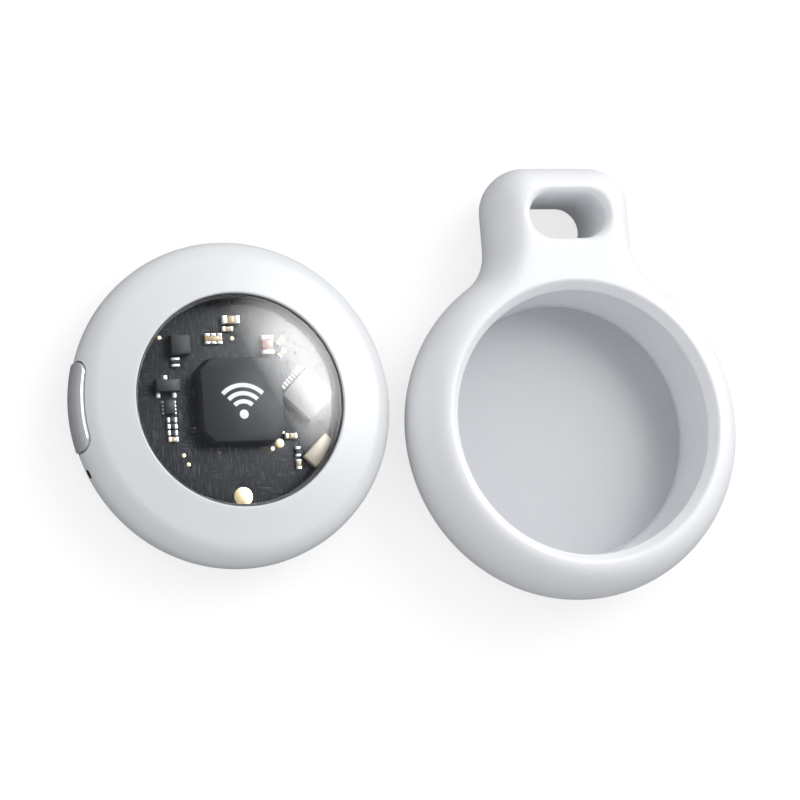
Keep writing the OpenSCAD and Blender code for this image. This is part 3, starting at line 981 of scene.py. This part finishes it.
SOFT_EDGES = {
    "main_processor": 0.1, "memory_chip": 0.05, "power_chip": 0.06, "power_chip_legs": 0.03,
    "sensor_chip": 0.03, "radio_can": 0.1, "chip_antenna": 0.08, "capacitor_bodies": 0.03,
    "resistor_bodies": 0.03, "chip_terminals": 0.05, "inductor": 0.06, "inductor_terminals": 0.05,
    "array_body": 0.03, "array_terminals": 0.03, "sensor_chip_pads": 0.01, "main_board": 0.04,
    "test_pads": 0.012, "switch_body": 0.08, "switch_cover": 0.04, "battery_can": 0.12,
    "battery_cap": 0.06, "positive_contact": 0.03, "negative_contact": 0.03, "battery_tray": 0.06,
    "sounder_case": 0.1,
}
for soft_node, soft_width in SOFT_EDGES.items():
    softened(soft_node, soft_width)


def can_pins():
    """Row of fine pins along one side of the radio can, which is turned by 45 degrees."""
    foot = low("radio_can")
    middle = (foot + high("radio_can")) / 2
    place = Matrix.Translation((middle.x, middle.y, foot.z)) @ Matrix.Rotation(radians(45), 4, "Z")
    pitch, width, near, far = 0.38, 0.17, 1.96, 2.5
    pins = []
    for i in range(8):
        x = pitch * i - 1.1
        pins.append(prism([(x, near), (x + width, near), (x + width, far), (x, far)], place, 0.14))
    return new_piece("radio_can_pins", joined(*pins), "tin", "tag")


can_pins()
for kept_node, kept in frame["nodes"].items():
    kept.data.materials.clear()
    kept.data.materials.append(MATERIALS[SLOT_OF[kept_node]])


# ---- Studio ----

def glowing(name, strength, ends, fade):
    """Glow that fades towards a card's two ends and from its foot to its head."""
    finish = new_finish(name)
    x, y, _ = finish.parts(finish.node("TexCoord", output="UV"))
    level = strength * finish.ramp(x, ends) * finish.ramp(y, fade)
    return finish.use(finish.node("Emission", {}, {"Color": rgb(1, 0.995, 0.985), "Strength": level}))


def light_card(name, azimuth, elevation, distance, size, strength, ends, fade, kind="both"):
    """Soft card that faces the objects from a direction in degrees, and lights one kind of ray."""
    bm = bmesh.new()
    bmesh.ops.create_grid(bm, x_segments=1, y_segments=1, size=0.5)
    uv = bm.loops.layers.uv.verify()
    for face in bm.faces:
        for corner in face.loops:
            corner[uv].uv = (corner.vert.co.x + 0.5, corner.vert.co.y + 0.5)
    az, el = radians(azimuth), radians(elevation)
    back = -Vector((cos(el) * cos(az), cos(el) * sin(az), sin(el)))
    middle = Vector((HOLDER_X / 2, 0, 0)) * MM
    place = Matrix.Translation(middle - back * distance) @ turned_to(back, Vector((0, 0, 1)))
    bmesh.ops.transform(bm, matrix=place @ Matrix.Diagonal((*size, 1, 1)), verts=bm.verts)
    card = plain_object(name, bm)
    card.data.materials.append(glowing(name, strength, ends, fade))
    card.visible_camera = False
    card.visible_diffuse = kind != "gloss"
    card.visible_glossy = kind != "diffuse"


def pale_floor():
    """Pale floor that takes soft shadows, and sends no light back up on to the objects."""
    finish = new_finish("pale_floor")
    shader = finish.principled(
        Base_Color=finish.colours(finish.noise(0.02, 2), rgb(0.34, 0.34, 0.34), rgb(0.36, 0.36, 0.36)),
        Roughness=0.9,
        Specular_IOR_Level=0.1,
        Emission_Color=rgb(1, 1, 1),
        Emission_Strength=0.72,
    )
    bm = bmesh.new()
    bmesh.ops.create_circle(bm, cap_ends=True, segments=64, radius=4)
    bmesh.ops.translate(bm, verts=bm.verts, vec=(0, 0, -0.05 * MM))
    floor = plain_object("floor", bm)
    floor.data.materials.append(finish.use(shader))
    floor.visible_diffuse = False
    floor.visible_glossy = False


def studio_world():
    """Sky that is brightest near the horizon, and a dim glow from below."""
    sky = Finish(bpy.data.worlds.new("studio"))
    _, _, z = sky.parts(sky.node("TexCoord", output="Generated"))
    level = sky.ramp(z * 0.5 + 0.5, [(0.3, 0.06), (0.47, 0.45), (0.56, 1), (0.7, 0.9), (1, 0.42)])
    shade = sky.node("Background", {}, {"Color": rgb(0.97, 0.985, 1), "Strength": level})
    bpy.context.scene.world = sky.use(shade, "OutputWorld")


ROUND = [(0, 0), (0.3, 1), (0.7, 1), (1, 0)]
studio_world()
pale_floor()
light_card("key_card", 40, 38, 0.8, (0.95, 0.85), 4.8, ROUND, ROUND)
light_card("fill_card", 150, 38, 0.8, (0.9, 0.6), 1.7, ROUND, ROUND, "diffuse")
light_card("window_card", 28, 52, 0.6, (0.46, 0.28), 44, ROUND, [(0, 1), (0.55, 1), (1, 0)], "gloss")
bpy.context.scene.view_settings.view_transform = "Standard"

bpy.context.view_layer.update()
